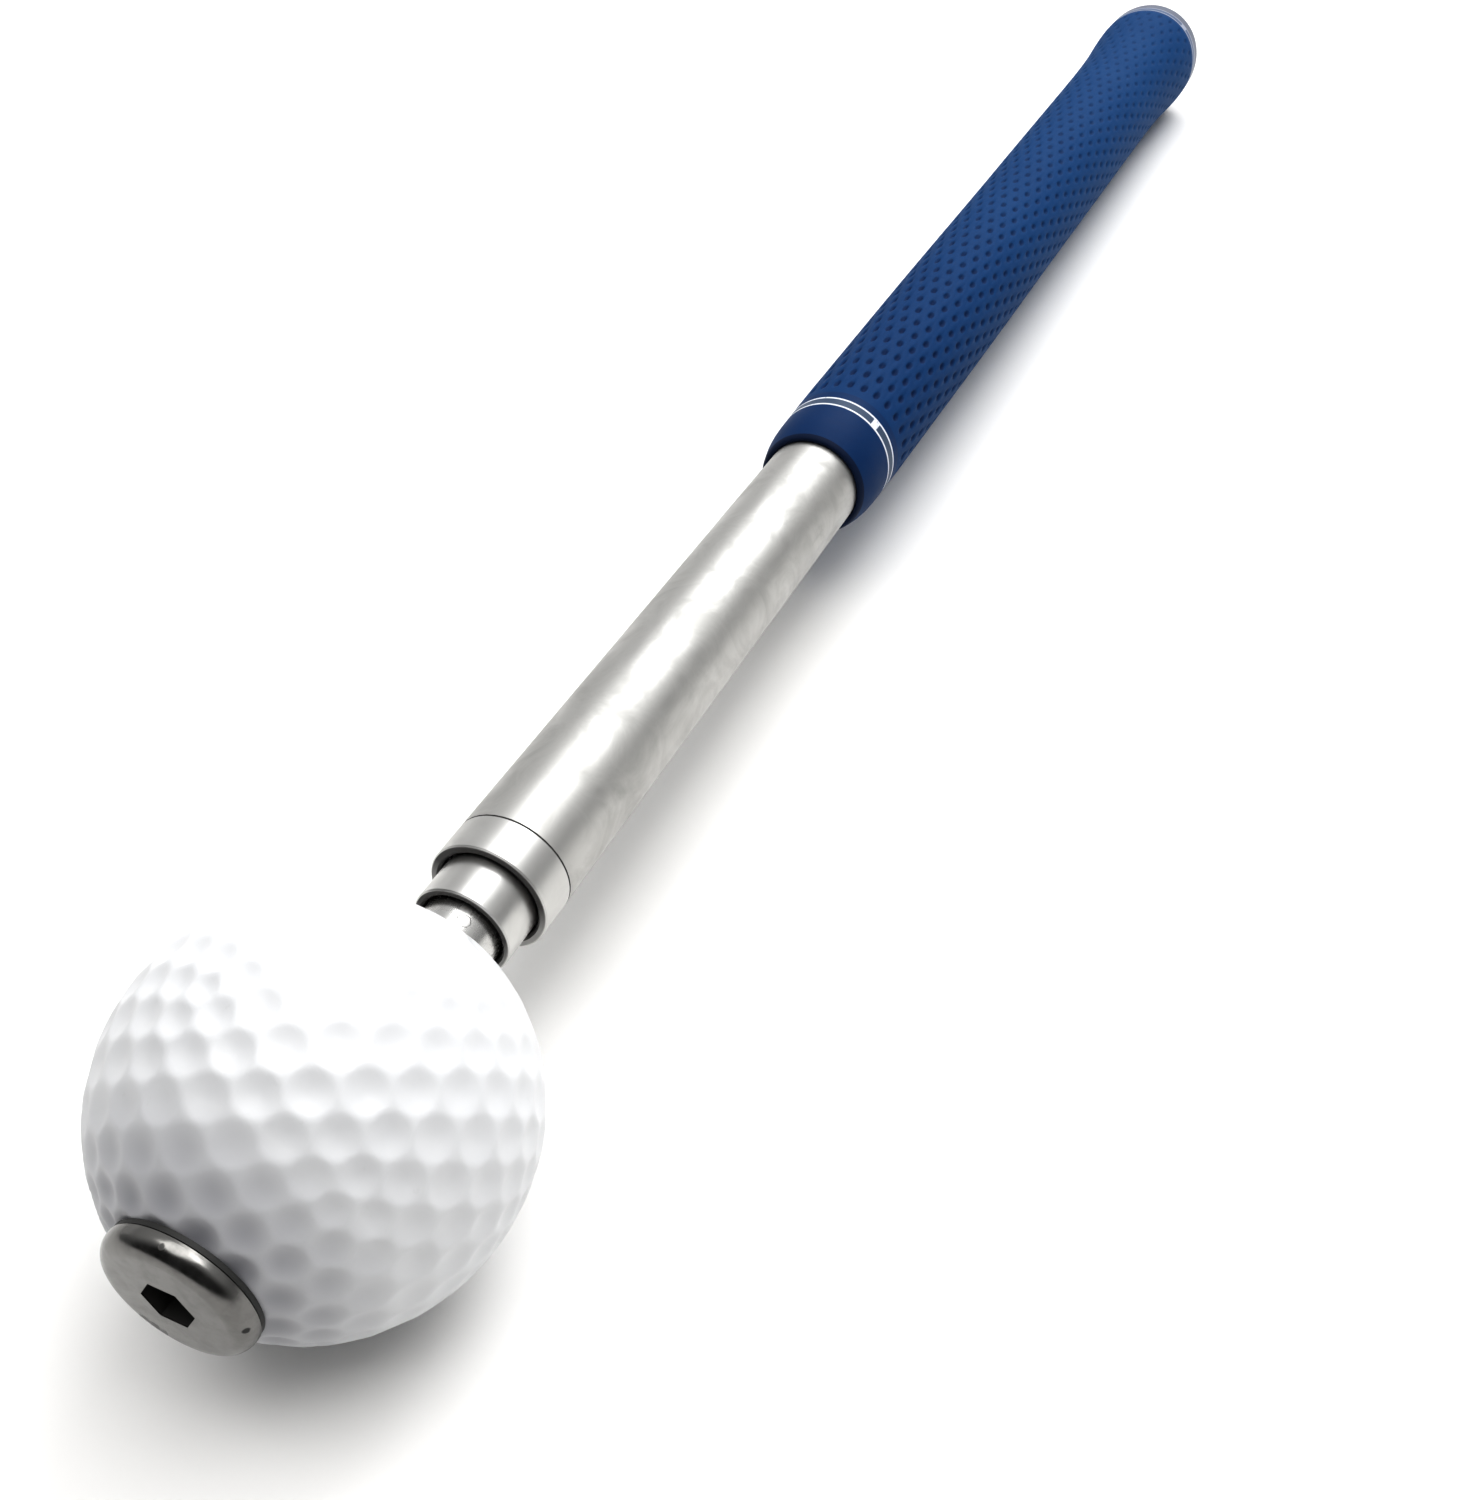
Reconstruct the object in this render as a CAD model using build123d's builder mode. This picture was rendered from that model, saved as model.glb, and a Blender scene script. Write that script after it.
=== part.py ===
from build123d import *
from math import cos, pi, sin
import os

os.makedirs("parts", exist_ok=True)

# Telescopic rod with a moulded golf grip and a bolted golf ball at its tip.
# Millimetres. The rod axis is X: x = 0 is the butt face, the ball is at +X.

# golf ball (regulation size) and its fastening
BALL_R = 21.335
BALL_X = 364.0
CORE_R = 19.0
DRILL_R = 3.2
FRONT_FLAT = 19.8
REAR_FLAT = 20.6
FRONT_WASHER_T = 0.5
REAR_WASHER_T = 0.8
FRONT_WASHER_R = 7.9
REAR_WASHER_R = 5.4
HEAD_R = 8.0
HEAD_UNDER_EDGE = 0.15
HEAD_EDGE_H = 0.4
HEAD_ROUND = 1.8
HEAD_CROWN = 0.1
HEX_AF = 5.0
HEX_DEPTH = 2.0
BOLT_R = 3.0
BOLT_LEN = 55.0

# tubes: outside and inside radii of the three stages
OUTER_RO, OUTER_RI = 7.3, 6.6
MIDDLE_RO, MIDDLE_RI = 5.9, 5.3
INNER_RO, INNER_RI = 4.65, 3.95
RUN = 0.05
EDGE = 0.25
SEAM_EDGE = 0.1

# handle
BUTT_WALL = 2.6
PLUG_LEN = 12.0
PLUG_RECESS_R = 4.6
PLUG_RECESS_D = 7.0
CUSHION_T = 3.0
CUSHION_R = 6.5
OUTER_SEAM_X = 327.7
OUTER_FRONT_X = 333.1
OUTER_BORE_R = 6.2
OUTER_SPIGOT_RI = 6.15
SPIGOT_LEN = 4.0
BUSH_LEN = 15.0
WIPER_T = 2.0
WIPER_SETBACK = 1.8
OUTER_WIPER_R = 6.6

# middle stage
REAR_X = 18.0
MIDDLE_SEAM_X = 330.7
MIDDLE_FRONT_X = 338.7
MIDDLE_BORE_R = 5.0
MIDDLE_SPIGOT_RI = 4.9
MIDDLE_RING_R = 6.35
MIDDLE_STOP_R = 6.45
MIDDLE_WIPER_R = 5.4
RING_LEN = 4.0
RING_LIP = 2.0
STOP_T = 1.5

# inner stage
INNER_FRONT_X = BALL_X - REAR_FLAT - REAR_WASHER_T
INNER_FLANGE_R = 5.05
INNER_FLANGE_T = 2.0
INNER_SPIGOT_LEN = 7.0
INNER_STOP_R = 5.15
END_PLUG_LEN = 16.0

# grip: (distance from the butt face, outside radius) along its length
GRIP_MOUTH_X = 237.2
GRIP_PROFILE = [
    (3.2, 12.2), (9.0, 12.3), (15.0, 12.15), (27.0, 11.45), (39.0, 11.0), (52.0, 10.8),
    (75.0, 10.6), (95.0, 10.45), (124.0, 10.2), (150.0, 10.05), (173.0, 9.9), (193.0, 9.7),
    (212.0, 9.5), (223.0, 9.35), (229.0, 9.2), (234.0, 8.85), (236.7, 8.25),
]
BUTT_FLAT_R = 9.4
BUTT_SHOULDER = (1.0, 11.4)
MOUTH_FACE_R = 7.8


def turned(points):
    """Revolve a closed outline of (x, radius) points about the rod axis."""
    with BuildSketch(Plane.XY) as outline:
        with BuildLine():
            Polyline(*points, close=True)
        make_face()
    revolve(outline.sketch, axis=Axis.X)


def ring(x0, x1, r_in, r_out, edge=0.0):
    """Plain turned ring, with both outside edges broken by a small chamfer."""
    if edge > 0.0:
        turned([(x0, r_in), (x0, r_out - edge), (x0 + edge, r_out), (x1 - edge, r_out),
                (x1, r_out - edge), (x1, r_in)])
    else:
        turned([(x0, r_in), (x0, r_out), (x1, r_out), (x1, r_in)])


def stage_tube(x0, x1, r_in, r_out):
    """Tube of one stage, with the edge broken where its end collar seats."""
    turned([(x0, r_in), (x0, r_out), (x1 - SEAM_EDGE, r_out), (x1, r_out - SEAM_EDGE), (x1, r_in)])


def end_collar(seam_x, front_x, r_out, bore_r, spigot_r, spigot_ri, groove_r):
    """End collar: front ring with a wiper groove, and a spigot that enters the tube."""
    groove_x1 = front_x - WIPER_SETBACK
    groove_x0 = groove_x1 - WIPER_T
    turned([
        (seam_x - SPIGOT_LEN, spigot_ri), (seam_x - SPIGOT_LEN, spigot_r), (seam_x, spigot_r),
        (seam_x, r_out - SEAM_EDGE), (seam_x + SEAM_EDGE, r_out),
        (front_x - EDGE, r_out), (front_x, r_out - EDGE),
        (front_x, bore_r + EDGE), (front_x - EDGE, bore_r), (groove_x1, bore_r),
        (groove_x1, groove_r), (groove_x0, groove_r), (groove_x0, bore_r),
        (seam_x, bore_r), (seam_x, spigot_ri),
    ])


# ---------------------------------------------------------------- handle
with BuildPart() as grip:
    with BuildSketch(Plane.XY) as grip_outline:
        with BuildLine():
            Spline(*GRIP_PROFILE)
            Polyline(GRIP_PROFILE[-1], (GRIP_MOUTH_X, MOUTH_FACE_R), (GRIP_MOUTH_X, OUTER_RO),
                     (BUTT_WALL, OUTER_RO), (BUTT_WALL, 0), (0, 0), (0, BUTT_FLAT_R))
            ThreePointArc((0, BUTT_FLAT_R), BUTT_SHOULDER, GRIP_PROFILE[0])
        make_face()
    revolve(axis=Axis.X)
grip.part.label = "grip"
export_step(grip.part, "parts/grip.step")

with BuildPart() as outer_tube:
    stage_tube(BUTT_WALL, OUTER_SEAM_X, OUTER_RI, OUTER_RO)
outer_tube.part.label = "outer_tube"
export_step(outer_tube.part, "parts/outer_tube.step")

with BuildPart() as outer_collar:
    end_collar(OUTER_SEAM_X, OUTER_FRONT_X, OUTER_RO, OUTER_BORE_R, OUTER_RI,
               OUTER_SPIGOT_RI, OUTER_WIPER_R)
outer_collar.part.label = "outer_collar"
export_step(outer_collar.part, "parts/outer_collar.step")

with BuildPart() as outer_wiper:
    ring(OUTER_FRONT_X - WIPER_SETBACK - WIPER_T, OUTER_FRONT_X - WIPER_SETBACK,
         MIDDLE_RO + RUN, OUTER_WIPER_R)
outer_wiper.part.label = "outer_wiper"
export_step(outer_wiper.part, "parts/outer_wiper.step")

outer_bush_x = OUTER_SEAM_X - SPIGOT_LEN - BUSH_LEN
with BuildPart() as outer_guide_bush:
    ring(outer_bush_x, outer_bush_x + BUSH_LEN, MIDDLE_RO + RUN, OUTER_RI)
outer_guide_bush.part.label = "outer_guide_bush"
export_step(outer_guide_bush.part, "parts/outer_guide_bush.step")

# hollow plug pressed into the rear of the outer tube, open towards the butt
plug_x1 = BUTT_WALL + PLUG_LEN
with BuildPart() as butt_plug:
    turned([(BUTT_WALL, PLUG_RECESS_R), (BUTT_WALL, OUTER_RI), (plug_x1, OUTER_RI), (plug_x1, 0),
            (BUTT_WALL + PLUG_RECESS_D, 0), (BUTT_WALL + PLUG_RECESS_D, PLUG_RECESS_R)])
butt_plug.part.label = "butt_plug"
export_step(butt_plug.part, "parts/butt_plug.step")

with BuildPart() as end_cushion:
    ring(plug_x1, plug_x1 + CUSHION_T, 0, CUSHION_R, EDGE)
end_cushion.part.label = "end_cushion"
export_step(end_cushion.part, "parts/end_cushion.step")

# ---------------------------------------------------------------- middle stage
middle_rear_x = REAR_X + RING_LEN - RING_LIP
middle_bush_x = REAR_X + RING_LEN
with BuildPart() as middle_tube:
    stage_tube(middle_rear_x, MIDDLE_SEAM_X, MIDDLE_RI, MIDDLE_RO)
middle_tube.part.label = "middle_tube"
export_step(middle_tube.part, "parts/middle_tube.step")

with BuildPart() as middle_collar:
    end_collar(MIDDLE_SEAM_X, MIDDLE_FRONT_X, MIDDLE_RO, MIDDLE_BORE_R, MIDDLE_RI,
               MIDDLE_SPIGOT_RI, MIDDLE_WIPER_R)
middle_collar.part.label = "middle_collar"
export_step(middle_collar.part, "parts/middle_collar.step")

with BuildPart() as middle_wiper:
    ring(MIDDLE_FRONT_X - WIPER_SETBACK - WIPER_T, MIDDLE_FRONT_X - WIPER_SETBACK,
         INNER_RO + RUN, MIDDLE_WIPER_R)
middle_wiper.part.label = "middle_wiper"
export_step(middle_wiper.part, "parts/middle_wiper.step")

middle_guide_x = MIDDLE_SEAM_X - SPIGOT_LEN - BUSH_LEN
with BuildPart() as middle_guide_bush:
    ring(middle_guide_x, middle_guide_x + BUSH_LEN, INNER_RO + RUN, MIDDLE_RI)
middle_guide_bush.part.label = "middle_guide_bush"
export_step(middle_guide_bush.part, "parts/middle_guide_bush.step")

# ring over the rear end of the middle tube, which keeps its sliding bush on
with BuildPart() as middle_end_ring:
    turned([(REAR_X, MIDDLE_RI), (REAR_X, MIDDLE_RING_R - EDGE), (REAR_X + EDGE, MIDDLE_RING_R),
            (middle_bush_x, MIDDLE_RING_R), (middle_bush_x, MIDDLE_RO),
            (middle_rear_x, MIDDLE_RO), (middle_rear_x, MIDDLE_RI)])
middle_end_ring.part.label = "middle_end_ring"
export_step(middle_end_ring.part, "parts/middle_end_ring.step")

with BuildPart() as middle_rear_bush:
    ring(middle_bush_x, middle_bush_x + BUSH_LEN, MIDDLE_RO, OUTER_RI - RUN)
middle_rear_bush.part.label = "middle_rear_bush"
export_step(middle_rear_bush.part, "parts/middle_rear_bush.step")

with BuildPart() as middle_stop_ring:
    ring(middle_bush_x + BUSH_LEN, middle_bush_x + BUSH_LEN + STOP_T, MIDDLE_RO, MIDDLE_STOP_R)
middle_stop_ring.part.label = "middle_stop_ring"
export_step(middle_stop_ring.part, "parts/middle_stop_ring.step")

# ---------------------------------------------------------------- inner stage
inner_rear_x = REAR_X + INNER_FLANGE_T
with BuildPart() as inner_tube:
    ring(inner_rear_x, INNER_FRONT_X, INNER_RI, INNER_RO)
inner_tube.part.label = "inner_tube"
export_step(inner_tube.part, "parts/inner_tube.step")

# flanged plug that closes the rear of the inner tube and keeps its bush on
with BuildPart() as inner_rear_plug:
    turned([(REAR_X, 0), (REAR_X, INNER_FLANGE_R - EDGE), (REAR_X + EDGE, INNER_FLANGE_R),
            (inner_rear_x, INNER_FLANGE_R), (inner_rear_x, INNER_RI),
            (inner_rear_x + INNER_SPIGOT_LEN, INNER_RI), (inner_rear_x + INNER_SPIGOT_LEN, 0)])
inner_rear_plug.part.label = "inner_rear_plug"
export_step(inner_rear_plug.part, "parts/inner_rear_plug.step")

with BuildPart() as inner_rear_bush:
    ring(inner_rear_x, inner_rear_x + BUSH_LEN, INNER_RO, MIDDLE_RI - RUN)
inner_rear_bush.part.label = "inner_rear_bush"
export_step(inner_rear_bush.part, "parts/inner_rear_bush.step")

with BuildPart() as inner_stop_ring:
    ring(inner_rear_x + BUSH_LEN, inner_rear_x + BUSH_LEN + STOP_T, INNER_RO, INNER_STOP_R)
inner_stop_ring.part.label = "inner_stop_ring"
export_step(inner_stop_ring.part, "parts/inner_stop_ring.step")

# tapped plug in the front of the inner tube, which takes the ball bolt
with BuildPart() as inner_end_plug:
    ring(INNER_FRONT_X - END_PLUG_LEN, INNER_FRONT_X, BOLT_R, INNER_RI)
inner_end_plug.part.label = "inner_end_plug"
export_step(inner_end_plug.part, "parts/inner_end_plug.step")

# ---------------------------------------------------------------- ball
drill_turn = (0, 90, 0)
drill_len = BALL_R * 3

with BuildPart() as ball_cover:
    with Locations((BALL_X, 0, 0)):
        Sphere(BALL_R)
        Sphere(CORE_R, mode=Mode.SUBTRACT)
        Cylinder(DRILL_R, drill_len, rotation=drill_turn, mode=Mode.SUBTRACT)
    # flats that seat the two washers
    with Locations((BALL_X + FRONT_FLAT, 0, 0)):
        Cylinder(BALL_R, BALL_R, rotation=drill_turn,
                 align=(Align.CENTER, Align.CENTER, Align.MIN), mode=Mode.SUBTRACT)
    with Locations((BALL_X - REAR_FLAT, 0, 0)):
        Cylinder(BALL_R, BALL_R, rotation=drill_turn,
                 align=(Align.CENTER, Align.CENTER, Align.MAX), mode=Mode.SUBTRACT)
ball_cover.part.label = "ball_cover"
export_step(ball_cover.part, "parts/ball_cover.step")

with BuildPart() as ball_core:
    with Locations((BALL_X, 0, 0)):
        Sphere(CORE_R)
        Cylinder(DRILL_R, drill_len, rotation=drill_turn, mode=Mode.SUBTRACT)
ball_core.part.label = "ball_core"
export_step(ball_core.part, "parts/ball_core.step")

with BuildPart() as rear_washer:
    ring(INNER_FRONT_X, INNER_FRONT_X + REAR_WASHER_T, DRILL_R, REAR_WASHER_R)
rear_washer.part.label = "rear_washer"
export_step(rear_washer.part, "parts/rear_washer.step")

front_washer_x = BALL_X + FRONT_FLAT
with BuildPart() as front_washer:
    ring(front_washer_x, front_washer_x + FRONT_WASHER_T, DRILL_R, FRONT_WASHER_R)
front_washer.part.label = "front_washer"
export_step(front_washer.part, "parts/front_washer.step")

# wide low-headed bolt through the ball, with a rounded rim and a hexagon socket
head_x = front_washer_x + FRONT_WASHER_T
shank_x = head_x - BOLT_LEN
round_x = head_x + HEAD_EDGE_H
face_x = round_x + HEAD_ROUND
face_r = HEAD_R - HEAD_ROUND
round_mid = (round_x + HEAD_ROUND * sin(pi / 4), face_r + HEAD_ROUND * cos(pi / 4))
top_x = face_x + HEAD_CROWN
crown_mid = (face_x + 0.75 * HEAD_CROWN, face_r / 2)
with BuildPart() as ball_bolt:
    with BuildSketch(Plane.XY) as bolt_outline:
        with BuildLine():
            Polyline((top_x, 0), (shank_x, 0), (shank_x, BOLT_R - EDGE), (shank_x + EDGE, BOLT_R),
                     (head_x, BOLT_R), (head_x, HEAD_R - HEAD_UNDER_EDGE),
                     (head_x + HEAD_UNDER_EDGE, HEAD_R), (round_x, HEAD_R))
            ThreePointArc((round_x, HEAD_R), round_mid, (face_x, face_r))
            ThreePointArc((face_x, face_r), crown_mid, (top_x, 0))
        make_face()
    revolve(axis=Axis.X)
    with BuildSketch(Plane.YZ.offset(top_x)):
        RegularPolygon(HEX_AF / 2, 6, major_radius=False)
    extrude(amount=-HEX_DEPTH, mode=Mode.SUBTRACT)
ball_bolt.part.label = "ball_bolt"
export_step(ball_bolt.part, "parts/ball_bolt.step")
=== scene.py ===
import math

import bmesh
import bpy
import numpy as np
from mathutils import Euler, Matrix, Vector


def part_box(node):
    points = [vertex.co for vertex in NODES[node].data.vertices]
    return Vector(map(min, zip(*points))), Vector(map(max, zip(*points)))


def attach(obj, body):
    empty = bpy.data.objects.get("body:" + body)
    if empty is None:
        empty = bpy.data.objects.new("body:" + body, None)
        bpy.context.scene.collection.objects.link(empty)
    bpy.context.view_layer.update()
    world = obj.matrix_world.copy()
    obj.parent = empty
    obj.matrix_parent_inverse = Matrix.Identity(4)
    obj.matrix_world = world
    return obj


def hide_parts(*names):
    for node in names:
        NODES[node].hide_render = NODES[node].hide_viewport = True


# Looks of a telescopic retriever: a golf grip at the butt, a ball bolted on the tip. +X runs from
# the butt face to the ball. Lengths named here are in mm, and MM turns them into the frame's
# metres; lengths that are already in metres say so.
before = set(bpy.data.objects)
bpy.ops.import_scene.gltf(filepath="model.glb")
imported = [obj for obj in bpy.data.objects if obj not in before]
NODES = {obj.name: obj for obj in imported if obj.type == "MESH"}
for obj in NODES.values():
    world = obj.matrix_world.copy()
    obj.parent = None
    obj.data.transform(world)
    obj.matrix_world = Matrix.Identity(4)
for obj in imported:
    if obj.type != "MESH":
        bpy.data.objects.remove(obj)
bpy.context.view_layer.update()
MM = 0.001
TAU = 2 * math.pi

# ------------------------------------------------------------------ sizes read from the frame
FRONT_FLAT, REAR_FLAT = 19.8, 20.6      # the ball's end flats, from its centre
cover_lo, cover_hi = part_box("ball_cover")
tube_lo, tube_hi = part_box("outer_tube")
BALL_R = (cover_hi[2] - cover_lo[2]) / 2 / MM
BALL_X = cover_hi[0] / MM - FRONT_FLAT
TUBE_R = (tube_hi[2] - tube_lo[2]) / 2 / MM
SEAM_X = tube_hi[0] / MM
GRIP_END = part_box("grip")[1][0] / MM
HEAD_TOP_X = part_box("ball_bolt")[1][0] / MM
COLLAR_FRONT_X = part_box("outer_collar")[1][0] / MM
MIDDLE_FRONT_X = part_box("middle_collar")[1][0] / MM

# ------------------------------------------------------------------ sizes of the looks
# bores that the painted shade round the two end faces reaches into
COLLAR_BORE_R, MIDDLE_BORE_R = 6.2, 5.0
BOLT_SOCKET_REACH = 2.95                # radius that covers the hexagon socket

# grip outline from the butt's rounded shoulder to the mouth: (x, radius)
GRIP_PROFILE = [
    (3.2, 12.2), (9.0, 12.3), (15.0, 12.15), (27.0, 11.45), (39.0, 11.0), (52.0, 10.8),
    (75.0, 10.6), (95.0, 10.45), (124.0, 10.2), (150.0, 10.05), (173.0, 9.9), (193.0, 9.7),
    (212.0, 9.5), (223.0, 9.35), (229.0, 9.2), (234.0, 8.85), (236.7, 8.25),
]
BUTT_FACE_R, BUTT_ROUND = 9.0, 3.2      # the flat butt face and the rounding of its shoulder
ROUND_STEPS = 12
SKIN_FROM, SKIN_TO = 3.8, 235.2         # x of the first and last plain row of the skin's mesh
BUTT_STEP, MOUTH_STEP = 0.7, 0.9        # gaps between plain rows behind and ahead of the pits
BORE_PLAY = 0.02

# grip pits in staggered rings, from the mouth towards the butt
PITS_ROUND = 26
PIT_PITCH = 4.19
PIT_FIRST = 220.97
PIT_RINGS = 51
PIT_PHASE = math.radians(63.3)
PIT_A, PIT_B, PIT_DEPTH = 1.20, 0.54, 0.42      # half length along the rod, half width, depth
WORN_TO, CRISP_OVER = 40, 160           # pits are worn up to this x, and get crisp over this length
WORN_DEPTH, CRISP_DEPTH = 0.55, 0.45    # share of the depth that is always there, and the rest
PIT_ROWS = (-1.12, -0.66, 0.0, 0.66, 1.12)      # mesh rows across a ring of pits
PIT_CLEAR = 1.6                         # no plain rows this close to the first and last ring
PIT_COLUMNS = 12                        # mesh columns from one pit to the next
PIT_ROUNDNESS = 0.7                     # 1 is a paraboloid; less has a flatter floor
PIT_MIN_R, PIT_MIN_X = 8.5, 5           # no pits inside the bore or on the butt's shoulder

# grip zones
SMOOTH_MOUTH = PIT_FIRST + 3            # smooth from here to the mouth
SMOOTH_BUTT = 9.6                       # smooth from the butt face to here
PAINT_RINGS = (226.0, 228.0, 8.3, 6.3)
PAINT_BLOCKS = ((227.0, math.radians(47.5)), (7.3, math.radians(47.5)))     # (x, angle)
PAINT_HALF, PAINT_SOFT = 0.21, 0.10     # half width of a ring's line, and its soft edge
BLOCK_HALF_X, BLOCK_HALF_TURN, BLOCK_SOFT_TURN = 1.15, 0.062, 0.010         # mm, radians
MOUTH_BAND_X, MOUTH_BAND_HALF = 227.0, 0.9      # pale band between the mouth's two rings
BUTT_BAND_END = 8.3                     # and the same at the butt
BUTT_CAP_END = 6.1
BUTT_TONES_END = 20                     # butt tones behind this x, mouth tones ahead of it
LIP_LENGTH = 0.80

# ball dimples on a geodesic grid, turned to the pattern's place on the rod (radians)
DIMPLE_FREQ = 6
DIMPLE_DEPTH = 0.42
DIMPLE_FILL = 0.485                     # dimple radius as a share of the gap between centres
DIMPLE_NEIGHBOURS = 5
DIMPLE_BOWL = 0.75                      # share of a round bowl; the rest is a soft cosine
PATTERN_TURN = (-2.2899, -0.1443, 1.2088)
BALL_SUBDIVISIONS = 7
CHUNK = 4000                            # vertices that are worked on at a time, to save memory


# ------------------------------------------------------------------ mesh helpers
def finish_mesh(mesh, name, smooth=True):
    """Shade a mesh and put it in the scene as an object."""
    mesh.update()
    mesh.polygons.foreach_set("use_smooth", [smooth] * len(mesh.polygons))
    obj = bpy.data.objects.new(name, mesh)
    bpy.context.scene.collection.objects.link(obj)
    return obj


def new_mesh(name, verts, faces, smooth=True):
    mesh = bpy.data.meshes.new(name)
    mesh.from_pydata([tuple(v) for v in verts], [], faces)
    return finish_mesh(mesh, name, smooth)


def natural_spline(xs, ys):
    """Cubic spline through the points, with free ends; returns a function."""
    xs, ys = np.array(xs, float), np.array(ys, float)
    n = len(xs)
    h = np.diff(xs)
    m = np.zeros((n, n))
    b = np.zeros(n)
    m[0, 0] = m[-1, -1] = 1
    for i in range(1, n - 1):
        m[i, i - 1], m[i, i], m[i, i + 1] = h[i - 1], 2 * (h[i - 1] + h[i]), h[i]
        b[i] = 6 * ((ys[i + 1] - ys[i]) / h[i] - (ys[i] - ys[i - 1]) / h[i - 1])
    k = np.linalg.solve(m, b)

    def value(x):
        i = np.clip(np.searchsorted(xs, x) - 1, 0, n - 2)
        a, c = xs[i + 1] - x, x - xs[i]
        return (k[i] * a ** 3 + k[i + 1] * c ** 3) / (6 * h[i]) + \
            (ys[i] / h[i] - k[i] * h[i] / 6) * a + (ys[i + 1] / h[i] - k[i + 1] * h[i] / 6) * c
    return value


# ------------------------------------------------------------------ node material helper
class Nodes:
    """Short names for building one material's node tree."""

    def __init__(self, name):
        self.mat = bpy.data.materials.new(name)
        self.mat.use_nodes = True
        self.tree = self.mat.node_tree
        self.tree.nodes.clear()
        self.bsdf = self.node("BsdfPrincipled")
        self.link(self.bsdf.outputs[0], self.node("OutputMaterial").inputs[0])
        self.coord = self.node("TexCoord").outputs["Object"]

    def node(self, kind):
        return self.tree.nodes.new("ShaderNode" + kind)

    def link(self, a, b):
        self.tree.links.new(a, b)

    def put(self, socket, value):
        """Link an output to the socket, or set the socket; a colour gets its alpha here."""
        if isinstance(value, bpy.types.NodeSocket):
            self.link(value, socket)
        elif isinstance(value, tuple) and socket.type == "RGBA":
            socket.default_value = (*value, 1)
        else:
            socket.default_value = value

    def set(self, **values):
        for name, value in values.items():
            self.put(self.bsdf.inputs[name.replace("_", " ")], value)

    def math(self, op, *values, clamp=False):
        n = self.node("Math")
        n.operation = op
        n.use_clamp = clamp
        for socket, value in zip(n.inputs, values):
            self.put(socket, value)
        return n.outputs[0]

    def add(self, a, b):
        return self.math("ADD", a, b)

    def sub(self, a, b, clamp=False):
        return self.math("SUBTRACT", a, b, clamp=clamp)

    def mul(self, a, b, clamp=False):
        return self.math("MULTIPLY", a, b, clamp=clamp)

    def div(self, a, b, clamp=False):
        return self.math("DIVIDE", a, b, clamp=clamp)

    def above(self, a, edge):
        return self.math("GREATER_THAN", a, edge)

    def below(self, a, edge):
        return self.math("LESS_THAN", a, edge)

    def most(self, *masks):
        total = masks[0]
        for mask in masks[1:]:
            total = self.math("MAXIMUM", total, mask)
        return total

    def length(self, *parts):
        """Length of a vector from its parts."""
        total = self.mul(parts[0], parts[0])
        for part in parts[1:]:
            total = self.add(total, self.mul(part, part))
        return self.math("SQRT", total)

    def rise(self, a, start, over):
        """0 up to start, growing to 1 over the given length."""
        return self.div(self.sub(a, start), over, clamp=True)

    def fade(self, a, start, over):
        """1 up to start, falling to 0 over the given length."""
        return self.sub(1.0, self.div(self.sub(a, start), over), clamp=True)

    def band(self, x, centre, half, soft):
        """1 where x (metres) is within half (mm) of centre (mm), with edges soft (mm) wide."""
        off = self.math("ABSOLUTE", self.sub(x, centre * MM))
        return self.fade(off, (half - soft / 2) * MM, soft * MM)

    def xyz(self):
        n = self.node("SeparateXYZ")
        self.link(self.coord, n.inputs[0])
        return n.outputs

    def distance(self, xyz, point):
        """Distance in metres from a point given in mm."""
        return self.length(*[self.sub(a, b * MM) for a, b in zip(xyz, point)])

    def scaled(self, *scale):
        n = self.node("Mapping")
        n.inputs["Scale"].default_value = scale
        self.link(self.coord, n.inputs["Vector"])
        return n.outputs[0]

    def noise(self, vector, scale, detail=4.0, rough=0.5, distort=0.0):
        n = self.node("TexNoise")
        self.link(vector, n.inputs["Vector"])
        n.inputs["Scale"].default_value = scale
        n.inputs["Detail"].default_value = detail
        n.inputs["Roughness"].default_value = rough
        n.inputs["Distortion"].default_value = distort
        return n.outputs["Fac"]

    def ramp(self, fac, *stops):
        """Grey ramp through (position, value) stops."""
        n = self.node("ValToRGB")
        self.link(fac, n.inputs[0])
        fill_ramp(n, [(place, (value, value, value)) for place, value in stops])
        return n.outputs[0]

    def mix(self, fac, a, b, kind="RGBA"):
        n = self.node("Mix")
        n.data_type = kind
        first, second, result = {"FLOAT": (2, 3, 0), "RGBA": (6, 7, 2)}[kind]
        self.put(n.inputs[0], fac)
        self.put(n.inputs[first], a)
        self.put(n.inputs[second], b)
        return n.outputs[result]

    def bump(self, height, strength, distance, normal=None):
        n = self.node("Bump")
        n.inputs["Strength"].default_value = strength
        n.inputs["Distance"].default_value = distance
        self.link(height, n.inputs["Height"])
        if normal is not None:
            self.link(normal, n.inputs["Normal"])
        return n.outputs[0]


def fill_ramp(node, stops):
    """Give a colour ramp node its (position, colour) stops."""
    elements = node.color_ramp.elements
    while len(elements) < len(stops):
        elements.new(0.5)
    for element, (place, colour) in zip(elements, stops):
        element.position = place
        element.color = (*colour, 1)


def shade(colour, share):
    return tuple(c * share for c in colour)


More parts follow.
